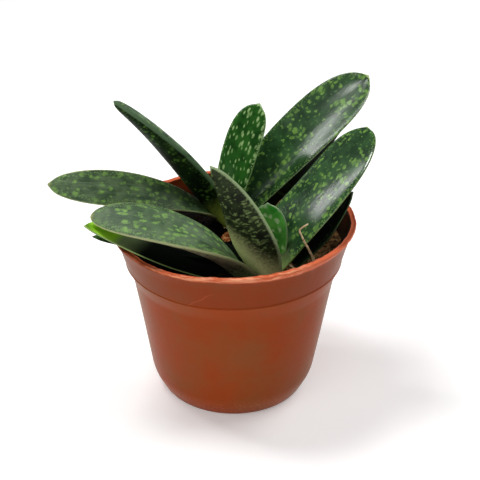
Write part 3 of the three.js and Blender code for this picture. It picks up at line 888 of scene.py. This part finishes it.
@dataclass(frozen=True)
class PotPlastic:
    """Thin terracotta-coloured plastic, scuffed, with a painted highlight and painted glints along
    its lip and painted shade on its inner wall.
    """

    body: Colour = srgb(150, 60, 12)
    worn: Colour = srgb(136, 72, 30)
    # painted highlight along the lip's top; the scratch uses this colour too
    lip: Colour = srgb(224, 112, 74)
    # painted glints on the lip's front
    chip: Colour = srgb(246, 172, 132)
    shade: Colour = srgb(110, 44, 20)
    rubbed: Colour = srgb(186, 110, 74)
    haze: Colour = (0.58, 1.0, 0.8, 1.0)
    # painted shade: the inner faces a darker brown than the outside
    inside: Colour = srgb(130, 58, 24)
    # painted shade low on the inner wall and on its right side
    inner_shade: Colour = srgb(34, 20, 12)
    roughness: float = 0.4
    collar_shade: float = 0.35      # how much darker the collar is than the wall
    scratch_from: Span = (-21.0, 73.0)    # x and z of its ends
    scratch_to: Span = (-8.0, 84.0)

    cloud_scale: float = 0.035      # bumps per millimetre, here and in the other scales
    ring_stretch: Point = (0.02, 0.02, 0.9)
    scuff_stretch: Point = (0.5, 0.5, 0.08)
    glint_stretch: Point = (0.09, 0.22, 1.3)
    rub_scale: float = 0.9
    fine_scale: float = 2.2
    rub_heights: Span = (13.0, 9.0)                      # where they start and are full
    foot_heights: Span = (5.0, 0.3)
    foot_shade: float = 0.55
    collar_heights: Span = (73.4, 75.0)
    inner_shade_depth: float = 8.0         # how far below the mouth the painted shade on the inner wall reaches
    inner_shade_right: Span = (-2.0, 20.0)  # x where the painted shade on the right inner wall starts and where it is full
    glints_right: Span = (42.0, 24.0)                     # x and y where the painted glints start and are full
    glints_front: Span = (-36.0, -52.0)
    gloss_range: float = 0.2

    def scratch(self, sketch: Sketch, place: Wire) -> Wire:
        """Where the faint slanting scratch on the collar's front is, 0 to 1."""
        (x0, z0), (x1, z1) = self.scratch_from, self.scratch_to
        slope = (z1 - z0) / (x1 - x0)
        x, y, z = sketch.axes(place)
        sway = sketch.noise(place, 0.09, 1.0)
        off = sketch.math("MULTIPLY_ADD", x, -slope, z)
        off = sketch.math("MULTIPLY_ADD", sway, 5.0, off)
        off = sketch.math("ABSOLUTE", sketch.math("SUBTRACT", off, z0 - slope * x0 + 2.5))
        return sketch.times(sketch.step(off, 0.4, 0.1, 0.26), sketch.step(x, x0 - 1, x0 + 2),
                            sketch.step(x, x1 + 1, x1 - 5), sketch.step(y, 0.0, -1.0))

    def material(self, height: float) -> bpy.types.Material:
        """The plastic's material.

        Args:
            height: The height of the lip, in millimetres.

        Returns:
            The material.
        """
        sketch = Sketch("pot_plastic")
        place = sketch.object_mm()
        x, y, z = sketch.axes(place)
        within = sketch.stored("inside")
        cloud = sketch.noise(place, self.cloud_scale, 3.0, 0.6)
        rings = sketch.noise(sketch.scaled(place, self.ring_stretch), 1.0, 3.0, 0.6)
        scuff = sketch.noise(sketch.scaled(place, self.scuff_stretch), 1.0, 4.0, 0.7)
        glint_noise = sketch.noise(sketch.scaled(place, self.glint_stretch), 1.0, 3.0, 0.7)
        rubs = sketch.step(sketch.noise(place, self.rub_scale), 0.5, 0.68, 0.4)
        # painted shade down the inner wall below the mouth
        shaded_low = sketch.step(sketch.math("MULTIPLY_ADD", cloud, self.inner_shade_depth, z), height + 1.0,
                             height - self.inner_shade_depth)
        # painted highlight along the lip's top, with painted glints at its front
        lip_highlight = sketch.times(sketch.step(z, height - 2.0, height - 0.8, 0.8),
                              sketch.step(within, 0.9, 0.5))
        lip_glints = sketch.times(sketch.step(glint_noise, 0.47, 0.6, 0.9), lip_highlight,
                               sketch.step(x, *self.glints_right), sketch.step(y, *self.glints_front))
        colour = sketch.paint(
            self.body,
            (sketch.step(cloud, 0.35, 0.75), self.worn),
            (sketch.step(rings, 0.52, 0.75, 0.25), self.worn),
            (sketch.times(sketch.step(z, *self.rub_heights), rubs), self.rubbed),
            (sketch.step(z, *self.foot_heights, self.foot_shade), self.shade),
            (sketch.step(z, *self.collar_heights, self.collar_shade), self.shade),
            (self.scratch(sketch, place), self.lip),
            (sketch.step(scuff, 0.62, 0.8, 0.3), self.worn),
            # painted shade over the inner faces, deeper low down and on the right
            (within, self.inside),
            (sketch.times(shaded_low, within), self.inner_shade),
            (sketch.times(sketch.step(x, *self.inner_shade_right, 0.85), within), self.inner_shade),
            # painted highlight and painted glints on the lip
            (lip_highlight, self.lip),
            (lip_glints, self.chip))
        fine = sketch.times(sketch.noise(place, self.fine_scale, 3.0), 0.3)
        gloss = sketch.math("MULTIPLY_ADD", scuff, self.gloss_range,
                            self.roughness - self.gloss_range / 2)
        bump = sketch.math("MULTIPLY_ADD", rings, 0.6, fine)
        return sketch.surface(colour, gloss, bump, 0.12, Specular_IOR_Level=0.08, Sheen_Weight=0.15,
                              Sheen_Roughness=0.25, Sheen_Tint=self.haze)


@dataclass
class NurseryPot:
    """The thin pot with its turned-out lip, collar, ridge, rounded foot and drainage slots."""

    height: float = 92.0
    lip_radius: float = 60.0
    lip_thickness: float = 1.5
    lip_overhang: float = 1.4
    collar_foot: Span = (53.9, 73.0)      # radius, height
    bead: float = 0.4               # how far the ridge at the collar's foot stands out
    lip_roll: float = 0.4           # how far the lip rolls over towards the inside
    shoulder: Span = (50.8, 65.4)
    heel: Span = (41.9, 10.2)
    foot_radius: float = 36.8
    wall: float = 1.0
    floor: float = 1.4
    segments: int = 240
    ring_step: float = 7.0          # tallest stretch of wall between two rings
    lean: float = 0.03              # how much the mouth rises towards the right
    lean_starts: float = 60.0
    ripple: float = 0.35            # how far the thin wall and lip are out of true
    pull: float = 1.6               # how far the mouth is pulled up towards the front right
    pull_at: float = -1.08          # in radians about +Z
    pull_reach: float = 0.75
    nicks: float = 0.3              # how far the lip's worn edge is out of true
    slots: int = 8
    slot_radii: Span = (21.0, 30.0)
    slot_width: float = 4.6

    def profile(self) -> list[Span]:
        """The section, from the underside's edge up the outside and down the inside.

        Returns:
            Its radii and heights.
        """
        top, rim = self.height, self.lip_radius
        collar_top, under_lip = rim - self.lip_overhang, top - self.lip_thickness
        radius, height = self.collar_foot
        ridge = [(radius + self.bead, height + 0.2), (radius + self.bead, height + 0.7),
                 (radius + 0.25, height + 1.0)]
        outside = [(self.foot_radius, 0.0), self.heel, self.shoulder, self.collar_foot]
        widening = (self.heel[0] - self.foot_radius) * self.floor / self.heel[1]
        inside = [(radius - self.wall, height) for radius, height in outside[1:]]
        inner = collar_top - self.wall
        rolled = inner - self.lip_roll
        lip = [(rim, under_lip), (rim, top), (rim - 0.7, top), (rim - 1.0, top - 0.3),
               (inner + 0.4, top - 0.3), (inner, top), (rolled, top - 0.4), (rolled, top - 1.2),
               (inner, top - 2.4)]
        corners = [*outside, *ridge, (collar_top, under_lip), *lip, *reversed(inside),
                   (self.foot_radius + widening - self.wall, self.floor)]
        points = [corners[0]]
        for (radius, height), (next_radius, next_height) in pairwise(corners):
            count = max(1, math.ceil(abs(next_height - height) / self.ring_step))
            for i in range(1, count + 1):
                points.append((lerp(radius, next_radius, i / count),
                               lerp(height, next_height, i / count)))
        return points

    def pull_up_wall(self) -> bpy.types.Object:
        """Extrudes the wall from a disc, ring by ring, over the lip and down to the inner floor."""
        pot = new_shape(bpy.ops.mesh.primitive_circle_add, vertices=self.segments,
                        radius=self.foot_radius * MM, fill_type="NGON")
        with editing(pot):
            push_up(self.profile())
            face_outward()
        return pot

    def round_edges(self, pot: bpy.types.Object) -> None:
        """Bevels the foot, the heel, the shoulder, the collar's top and the lip."""
        collar_top = self.lip_radius - self.lip_overhang
        loops = [
            ((self.foot_radius, 0.0), 2.4, 4),
            (self.heel, 3.2, 4),
            (self.shoulder, 1.2, 3),
            ((collar_top, self.height - self.lip_thickness), 0.3, 2),
            ((self.lip_radius, self.height), 0.4, 3),
            ((self.lip_radius, self.height - self.lip_thickness), 0.4, 2),
        ]
        for (radius, height), offset, segments in loops:
            def on_loop(at: Vector) -> bool:
                """Whether a corner lies on this loop."""
                return abs(at.z - height) < 0.01 and abs(at.xy.length - radius) < 0.05
            with editing(pot):
                pick(pot, on_loop, "EDGE")
                bpy.ops.mesh.bevel(offset=offset * MM, segments=segments, affect="EDGES")

    def cut_slots(self, pot: bpy.types.Object) -> None:
        """Cuts the ring of drainage slots through the floor."""
        near, far = self.slot_radii
        half = self.slot_width / 2
        slot = new_shape(bpy.ops.mesh.primitive_cylinder_add, vertices=24, radius=half * MM,
                         depth=6 * MM, location=((near + half) * MM, 0, 0))
        with editing(slot):
            pick(slot, lambda at: at.x > near + half + 0.01)
            stretch = (far - near - self.slot_width) * MM
            bpy.ops.transform.translate(value=(stretch, 0, 0))
        turns = (Matrix.Rotation(TAU * (i + 0.5) / self.slots, 4, "Z") for i in range(self.slots))
        cutter = copies_of(slot, turns)
        use_modifier(pot, "BOOLEAN", operation="DIFFERENCE", object=cutter, solver="EXACT")
        bpy.data.objects.remove(cutter)

    def settle(self, pot: bpy.types.Object) -> None:
        """Gives the wall and lip the ripples and lean of a thin, handled pot."""
        points = points_of(pot)
        radius = np.maximum(np.hypot(points[:, 0], points[:, 1]), 1e-3)
        around = np.stack([points[:, 0] / radius, points[:, 1] / radius, points[:, 2] * 0.01], 1)
        aloft = smooth_step(points[:, 2], self.lean_starts, self.height)
        slack = rough(around, 0.55, self.ripple, 2.0) * smooth_step(points[:, 2], 2, 30)
        points[:, :2] *= (1 + slack / radius)[:, None]
        wave = rough(around, 0.22, self.ripple * 1.2, 9.0)
        angle = np.arctan2(points[:, 1], points[:, 0])
        pulled = self.pull * np.exp(-((angle - self.pull_at) / self.pull_reach) ** 2)
        points[:, 2] += aloft * (self.lean * points[:, 0] + wave + pulled)
        brink = smooth_step(points[:, 2], self.height - 4, self.height - 1)
        nicks = rough(around, 0.035, self.nicks, 5.0) + rough(around, 0.09, self.nicks, 15.0)
        points[:, 2] += brink * nicks
        points[:, :2] *= (1 + brink * rough(around, 0.05, self.nicks, 25.0) / radius)[:, None]
        move_points(pot, points)

    def mark_inside(self, pot: bpy.types.Object) -> None:
        """Stores how far each point's surface faces the pot's axis, 0 to 1, for the material."""
        points = points_of(pot)
        normals = np.empty(len(points) * 3)
        pot.data.vertices.foreach_get("normal", normals)
        normals = normals.reshape(-1, 3)
        radius = np.maximum(np.hypot(points[:, 0], points[:, 1]), 1e-3)
        inward = -(points[:, :2] * normals[:, :2]).sum(1) / radius
        store(pot, "inside", smooth_step(inward, 0.1, 0.7))

    def build(self) -> None:
        """Models and dresses the pot."""
        pot = self.pull_up_wall()
        self.round_edges(pot)
        self.cut_slots(pot)
        self.settle(pot)
        self.mark_inside(pot)
        only(pot)
        bpy.ops.object.shade_smooth_by_angle(angle=math.radians(35))
        wear(pot, PotPlastic().material(self.height))
        finish_piece(pot, "pot_shell", ("pot",))


# Soil and what lies in it

@dataclass(frozen=True)
class Peat:
    """Dark peat mix with ochre and tan grains, and a painted shade that can darken its middle and
    left.
    """

    dark: Colour = srgb(72, 52, 34)
    brown: Colour = srgb(150, 112, 70)
    tan: Colour = srgb(182, 144, 92)
    # painted shade, near black, for soil and litter lying under the leaves
    soil_shade: Colour = srgb(6, 4, 3)
    grain: float = 0.9              # distance between grains
    soil_shade_left: Span = (26.0, 6.0)    # x where the painted shade starts and where it is full

    def material(self, name: str, tan_share: float, shade_share: float = 0.0) -> bpy.types.Material:
        """The peat's material.

        Args:
            name: The material's name.
            tan_share: How many of the grains are tan, 0 to 1.
            shade_share: How strongly the painted shade darkens the middle and left, 0 to 1.

        Returns:
            The material.
        """
        sketch = Sketch(name)
        place = sketch.object_mm()
        cloud = sketch.noise(place, 0.25, 4.0, 0.7)
        grains = sketch.add("TexVoronoi", {"Vector": place, "Scale": 1 / self.grain})
        tone = sketch.axes(grains.outputs["Color"])[0]
        # painted shade under the leaves, darkening the soil towards the middle and left
        soil_shade = sketch.step(sketch.axes(place)[0], *self.soil_shade_left, shade_share)
        colour = sketch.paint(self.dark, (sketch.step(cloud, 0.35, 0.7), self.brown),
                              (sketch.step(tone, 1 - tan_share, 1.0, 0.9), self.tan),
                              (soil_shade, self.soil_shade))
        height = sketch.math("SUBTRACT", cloud, sketch.times(grains.outputs["Distance"], 0.5))
        return sketch.surface(colour, 0.95, height, 0.5, Specular_IOR_Level=0.06)


@dataclass
class PottingSoil:
    """The body of soil, its crumbs and its fibres."""

    level: float = 80.0
    edge: float = 54.0              # radius of the surface
    margin: float = 2.5             # how far from the edge the crumbs and fibres stay
    unevenness: float = 0.9
    swell: tuple[float, float, float] = (0.19, 0.16, 1.2)
    ripple: tuple[float, float, float] = (-0.23, 0.31, 0.6)
    clods: float = 1.5              # depth of the loose surface
    side: tuple[Span, ...] = ((36.6, 1.7), (40.6, 10.2), (49.8, 67.5), (52.5, 73.0))
    segments: int = 180
    rings: int = 34
    crumbs: int = 1500
    fibres: int = 170

    def height(self, x: Any, y: Any) -> Any:
        """Height of the soil's surface at a place."""
        across, back, phase = self.swell
        swell = np.sin(across * x + phase) * np.cos(back * y)
        ripple = self.ripple[2] * np.sin(self.ripple[0] * x + self.ripple[1] * y)
        return self.level + self.unevenness * (swell + ripple)

    def build_body(self) -> None:
        """Extrudes the soil up the pot's inside and in over its top in rings, then loosens it."""
        radius, foot = self.side[0]
        soil = new_shape(bpy.ops.mesh.primitive_circle_add, vertices=self.segments,
                         radius=radius * MM, fill_type="NGON", location=(0, 0, foot * MM))
        inner = [(self.edge * (1 - i / self.rings), self.level) for i in range(1, self.rings)]
        with editing(soil):
            push_up([*self.side, (self.edge, self.level), *inner])
            bpy.ops.mesh.poke()
            face_outward()
        at = points_of(soil)
        top = at[:, 2] > self.level - 0.5
        surface = at[top]
        lift = self.height(surface[:, 0], surface[:, 1]) - self.level
        loose = rough(surface, 3.4, self.clods) + rough(surface, 1.3, self.clods * 0.5, 4)
        surface[:, 2] += lift + loose
        at[top] = surface
        move_points(soil, at)
        smooth(soil)
        # the soil under the leaves is darkened with painted shade
        wear(soil, Peat().material("peat", 0.22, shade_share=1.0))
        finish_piece(soil, "soil_body", ("potting_soil",))

    def scatter(self, pattern: bpy.types.Object, count: int, sizes: Span,
                lift: float, flat: float, draw: random.Random) -> bpy.types.Object:
        """Strews copies of a shape over the soil.

        Args:
            pattern: The shape to copy; it is removed.
            count: How many copies.
            sizes: The smallest and largest scale.
            lift: How far the copies lie above the surface.
            flat: How far they may tip, in radians.
            draw: The random numbers.

        Returns:
            All copies as one object.
        """
        places = []
        for _ in range(count):
            radius = (self.edge - self.margin) * math.sqrt(draw.random())
            angle = draw.random() * TAU
            x, y = radius * math.cos(angle), radius * math.sin(angle)
            spot = Vector((x, y, self.height(x, y) + lift)) * MM
            turn = Matrix.Rotation(draw.random() * TAU, 4, "Z")
            for axis in "XY":
                turn = turn @ Matrix.Rotation(draw.uniform(-flat, flat), 4, axis)
            size = lerp(*sizes, draw.random() ** 2.5)
            deep, tall = size * draw.uniform(0.6, 1), size * draw.uniform(0.5, 0.9)
            places.append(Matrix.Translation(spot) @ turn @ Matrix.Diagonal((size, deep, tall, 1)))
        return copies_of(pattern, places)

    def build_crumbs(self, draw: random.Random) -> None:
        """Strews crumbs of peat, each a knocked-about ball of a few faces."""
        crumb = new_shape(bpy.ops.mesh.primitive_ico_sphere_add, subdivisions=1, radius=1 * MM)
        with editing(crumb):
            bpy.ops.mesh.bevel(offset=0.25 * MM, segments=1, affect="VERTICES")
            bpy.ops.transform.vertex_random(offset=0.2 * MM, seed=SEED)
        crumbs = self.scatter(crumb, self.crumbs, (0.35, 2.0), 0.2, 1.5, draw)
        # the crumbs under the leaves are darkened with painted shade
        wear(crumbs, Peat(grain=2.6).material("peat_crumbs", 0.4, shade_share=0.98))
        finish_piece(crumbs, "soil_crumbs")

    def build_fibres(self, draw: random.Random) -> None:
        """Strews short curled fibres."""
        fibre = new_shape(bpy.ops.mesh.primitive_cylinder_add, vertices=4, radius=0.14 * MM,
                          depth=8 * MM, rotation=(0, math.pi / 2, 0))
        with editing(fibre):
            bpy.ops.mesh.select_mode(type="EDGE")
            bpy.ops.mesh.select_all(action="DESELECT")
            mesh = bmesh.from_edit_mesh(fibre.data)
            for edge in mesh.edges:
                edge.select_set(edge.calc_length() > 4 * MM)
            bmesh.update_edit_mesh(fibre.data)
            bpy.ops.mesh.subdivide(number_cuts=6)
        at = points_of(fibre)
        at[:, 1] += 1.3 * np.sin(at[:, 0] * 0.55)
        at[:, 2] += 0.5 * np.cos(at[:, 0] * 0.8)
        move_points(fibre, at)
        fibres = self.scatter(fibre, self.fibres, (0.5, 1.5), 0.9, 0.3, draw)
        coir = Peat(dark=srgb(96, 62, 36), brown=srgb(150, 104, 62), tan=srgb(190, 150, 100),
                    grain=5)
        # the fibres under the leaves are darkened with painted shade
        wear(fibres, coir.material("coir", 0.4, shade_share=0.9))
        finish_piece(fibres, "soil_fibres")

    def build(self) -> None:
        """Builds the body, the crumbs and the fibres."""
        draw = random.Random(SEED)
        self.build_body()
        self.build_crumbs(draw)
        self.build_fibres(draw)


@dataclass(frozen=True)
class DryFibre:
    """Straw-coloured dead plant fibre."""

    straw: Colour = srgb(226, 200, 158)
    brown: Colour = srgb(150, 104, 70)

    def material(self, name: str) -> bpy.types.Material:
        """The fibre's material."""
        sketch = Sketch(name)
        place = sketch.object_mm()
        bands = sketch.noise(sketch.scaled(place, (0.5, 0.5, 0.35)), 1.0, 4.0, 0.7)
        colour = sketch.paint(self.straw, (sketch.step(bands, 0.42, 0.72), self.brown))
        return sketch.surface(colour, 0.7, bands, 0.2, Specular_IOR_Level=0.3)


@dataclass
class Strand:
    """A thin strand that follows listed points, drawn out ring by ring."""

    name: str
    node: str
    path: tuple[Point, ...]
    widths: Span     # at the foot and at the end
    flatness: float = 1.0
    knots: float = 0.18             # how uneven the strand is
    ring: int = 8
    stations: int = 48

    def centre_line(self) -> np.ndarray:
        """Evenly spread points on a smooth curve through the path."""
        ends = [2 * Vector(self.path[0]) - Vector(self.path[1]), *map(Vector, self.path),
                2 * Vector(self.path[-1]) - Vector(self.path[-2])]
        points = []
        for i in range(1, len(ends) - 2):
            before, start, end, after = ends[i - 1:i + 3]
            for j in range(12):
                t = j / 12
                points.append(0.5 * (2 * start + (end - before) * t
                                     + (2 * before - 5 * start + 4 * end - after) * t ** 2
                                     + (3 * start - before - 3 * end + after) * t ** 3))
        points.append(ends[-2])
        line = np.array(points)
        run = np.concatenate([[0], np.cumsum(np.linalg.norm(np.diff(line, axis=0), axis=1))])
        even = np.linspace(0, run[-1], self.stations)
        return np.stack([np.interp(even, run, line[:, i]) for i in range(3)], 1)

    def build(self) -> None:
        """Draws the strand out and dresses it."""
        line = self.centre_line()
        strand = new_shape(bpy.ops.mesh.primitive_circle_add, vertices=self.ring,
                           radius=self.widths[0] / 2 * MM, fill_type="NGON")
        with editing(strand):
            for _ in range(1, self.stations):
                bpy.ops.mesh.extrude_region_move(TRANSFORM_OT_translate={"value": (0, 0, MM)})
            face_outward()
        flat = points_of(strand)
        row = np.rint(flat[:, 2]).astype(int)
        share = row / (self.stations - 1)
        tangent = np.gradient(line, axis=0)
        tangent /= np.linalg.norm(tangent, axis=1)[:, None]
        side = np.cross(tangent, (0.13, 0.2, 1.0))
        side /= np.linalg.norm(side, axis=1)[:, None]
        up = np.cross(side, tangent)
        knot = 1 + self.knots * np.sin(row * 1.9) * np.sin(row * 0.73 + 1)
        size = (lerp(1, self.widths[1] / self.widths[0], share) * knot)[:, None]
        move_points(strand, line[row] + side[row] * flat[:, :1] * size
                    + up[row] * flat[:, 1:2] * size * self.flatness)
        smooth(strand)
        wear(strand, DryFibre().material(self.name))
        finish_piece(strand, self.name, (self.node,))


@dataclass
class BarkChip:
    """The rough lump of bark between the plants."""

    centre: Point = (-1.5, 3.0, 80.6)
    size: Point = (10.2, 7.6, 6.2)
    turn: float = 25.0

    def build(self) -> None:
        """Knocks a ball into a fibrous lump and dresses it."""
        chip = new_shape(bpy.ops.mesh.primitive_ico_sphere_add, subdivisions=4, radius=0.5 * MM,
                         location=Vector(self.centre) * MM,
                         rotation=(0, 0, math.radians(self.turn)), scale=self.size)
        at = points_of(chip)
        away = at - np.array(self.centre)
        depth = rough(away * (0.4, 1, 1), 2.2, 0.34) + rough(away * (0.3, 1.4, 1.4), 0.9, 0.16, 6)
        move_points(chip, np.array(self.centre) + away * (1 - 0.08 + depth)[:, None])
        smooth(chip)
        bark = Peat(dark=srgb(104, 52, 26), brown=srgb(196, 108, 58), tan=srgb(226, 160, 104),
                    grain=1.1)
        wear(chip, bark.material("bark", 0.35))
        finish_piece(chip, "bark_lump", ("bark_chip",))


# Studio

@dataclass
class SoftLight:
    """An oblong soft light that looks at the plant."""

    name: str
    azimuth: float                  # degrees from the front towards the right
    elevation: float                # degrees above the horizon
    reach: float                    # distance from the plant
    size: Span                      # width and height
    power: float                    # watts
    colour: Point = (1.0, 1.0, 1.0)

    def hang(self, target: Point) -> None:
        """Adds the light.

        Args:
            target: The point that it looks at, in millimetres.
        """
        turn, rise = math.radians(self.azimuth), math.radians(self.elevation)
        level = math.cos(rise)
        way = Vector((math.sin(turn) * level, -math.cos(turn) * level, math.sin(rise)))
        start_clean()
        bpy.ops.object.light_add(type="AREA", location=(Vector(target) + way * self.reach) * MM)
        light = bpy.context.object
        light.name = self.name
        light.rotation_euler = way.to_track_quat("Z", "Y").to_euler()
        light.data.shape = "RECTANGLE"
        light.data.size, light.data.size_y = self.size[0] * MM, self.size[1] * MM
        light.data.energy = self.power
        light.data.color = self.colour


@dataclass
class Studio:
    """Pale floor, soft lights and camera. Lengths are millimetres."""

    target: Point = (3.0, 0.0, 80.9)
    distance: float = 540.0
    tilt: float = 28.7              # degrees below the horizon
    roll: float = 0.64
    focal: float = 81.075
    sensor: float = 36.0
    floor_size: float = 6000.0
    paper: Colour = (0.93, 0.93, 0.93, 1.0)
    sky: float = 0.14
    table_glow: float = 0.28        # light that comes up through the table
    lights: tuple[SoftLight, ...] = (
        SoftLight("window_left", -116, 37, 900, (100, 540), 1.6),
        SoftLight("lamp_above_left", -105, 71, 1100, (300, 300), 6.6),
        SoftLight("softbox_front", -33, 35, 1300, (900, 900), 4.2, (1.0, 0.98, 0.95)),
        SoftLight("softbox_back", 120, 40, 1200, (900, 700), 7.6),
    )

    def place_camera(self) -> None:
        """Adds the camera that the picture is taken with."""
        tilt, roll = math.radians(self.tilt), math.radians(self.roll)
        forward = Vector((0, math.cos(tilt), -math.sin(tilt)))
        flat_up = Vector((0, math.sin(tilt), math.cos(tilt)))
        right = Vector((1, 0, 0)) * math.cos(roll) + flat_up * math.sin(roll)
        up = right.cross(forward)
        start_clean()
        bpy.ops.object.camera_add()
        camera = bpy.context.object
        turned = Matrix((right, up, -forward)).transposed().to_4x4()
        spot = (Vector(self.target) - forward * self.distance) * MM
        camera.matrix_world = Matrix.Translation(spot) @ turned
        camera.data.lens = self.focal
        camera.data.sensor_width = self.sensor
        camera.data.clip_start = 0.01
        camera.data.clip_end = 100
        bpy.context.scene.camera = camera

    def lay_floor(self) -> None:
        """Lays the pale floor."""
        start_clean()
        bpy.ops.mesh.primitive_plane_add(size=self.floor_size * MM)
        floor = bpy.context.object
        floor.name = "floor"
        sketch = Sketch("paper")
        grain = sketch.noise(sketch.object_mm(), 0.4, 2.0)
        wear(floor, sketch.surface(self.paper, 0.9, grain, 0.02, Specular_IOR_Level=0.2,
                                   Emission_Color=self.paper, Emission_Strength=self.table_glow))

    def build(self) -> None:
        """Sets up the whole studio."""
        world = bpy.data.worlds.new("studio")
        world.use_nodes = True
        world.node_tree.nodes["Background"].inputs[0].default_value = (1, 1, 1, 1)
        world.node_tree.nodes["Background"].inputs[1].default_value = self.sky
        bpy.context.scene.world = world
        bpy.context.scene.view_settings.view_transform = "Standard"
        self.lay_floor()
        for light in self.lights:
            light.hang(self.target)
        self.place_camera()


def dress_rootstocks() -> None:
    """Gives the buried stems and roots, which stay as they are, their pale woody finish."""
    woody = DryFibre(straw=srgb(196, 180, 136), brown=srgb(150, 126, 84)).material("root_skin")
    for node in ("rear_rootstock", "front_rootstock"):
        wear(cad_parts[node], woody)


def main() -> None:
    """Builds the studio and every piece in order."""
    logging.basicConfig(level=logging.INFO, format="%(name)s %(message)s")
    Studio().build()
    NurseryPot().build()
    PottingSoil().build()
    dress_rootstocks()
    for number, leaf in enumerate([*FRONT_PLANT, *REAR_PLANT]):
        leaf.build(number * 1.37 + 2)
    Strand("dead_root", "dry_root",
           ((38.9, -33.2, 77), (37.8, -34, 88.2), (35.1, -35.3, 95.3), (33.1, -36, 99.4),
            (31, -36, 104.1), (30.5, -36, 106.5), (34, -37, 109.9)), (1.4, 0.7)).build()
    Strand("leaf_scrap", "dry_leaf_sheath",
           ((24.6, -23, 80.8), (26.2, -25, 81.6), (28.2, -27.2, 81.4), (30.6, -28.2, 80.7)),
           (2.4, 1.0), flatness=0.33, stations=24).build()
    BarkChip().build()
    start_clean()


if __name__ == "__main__":
    main()
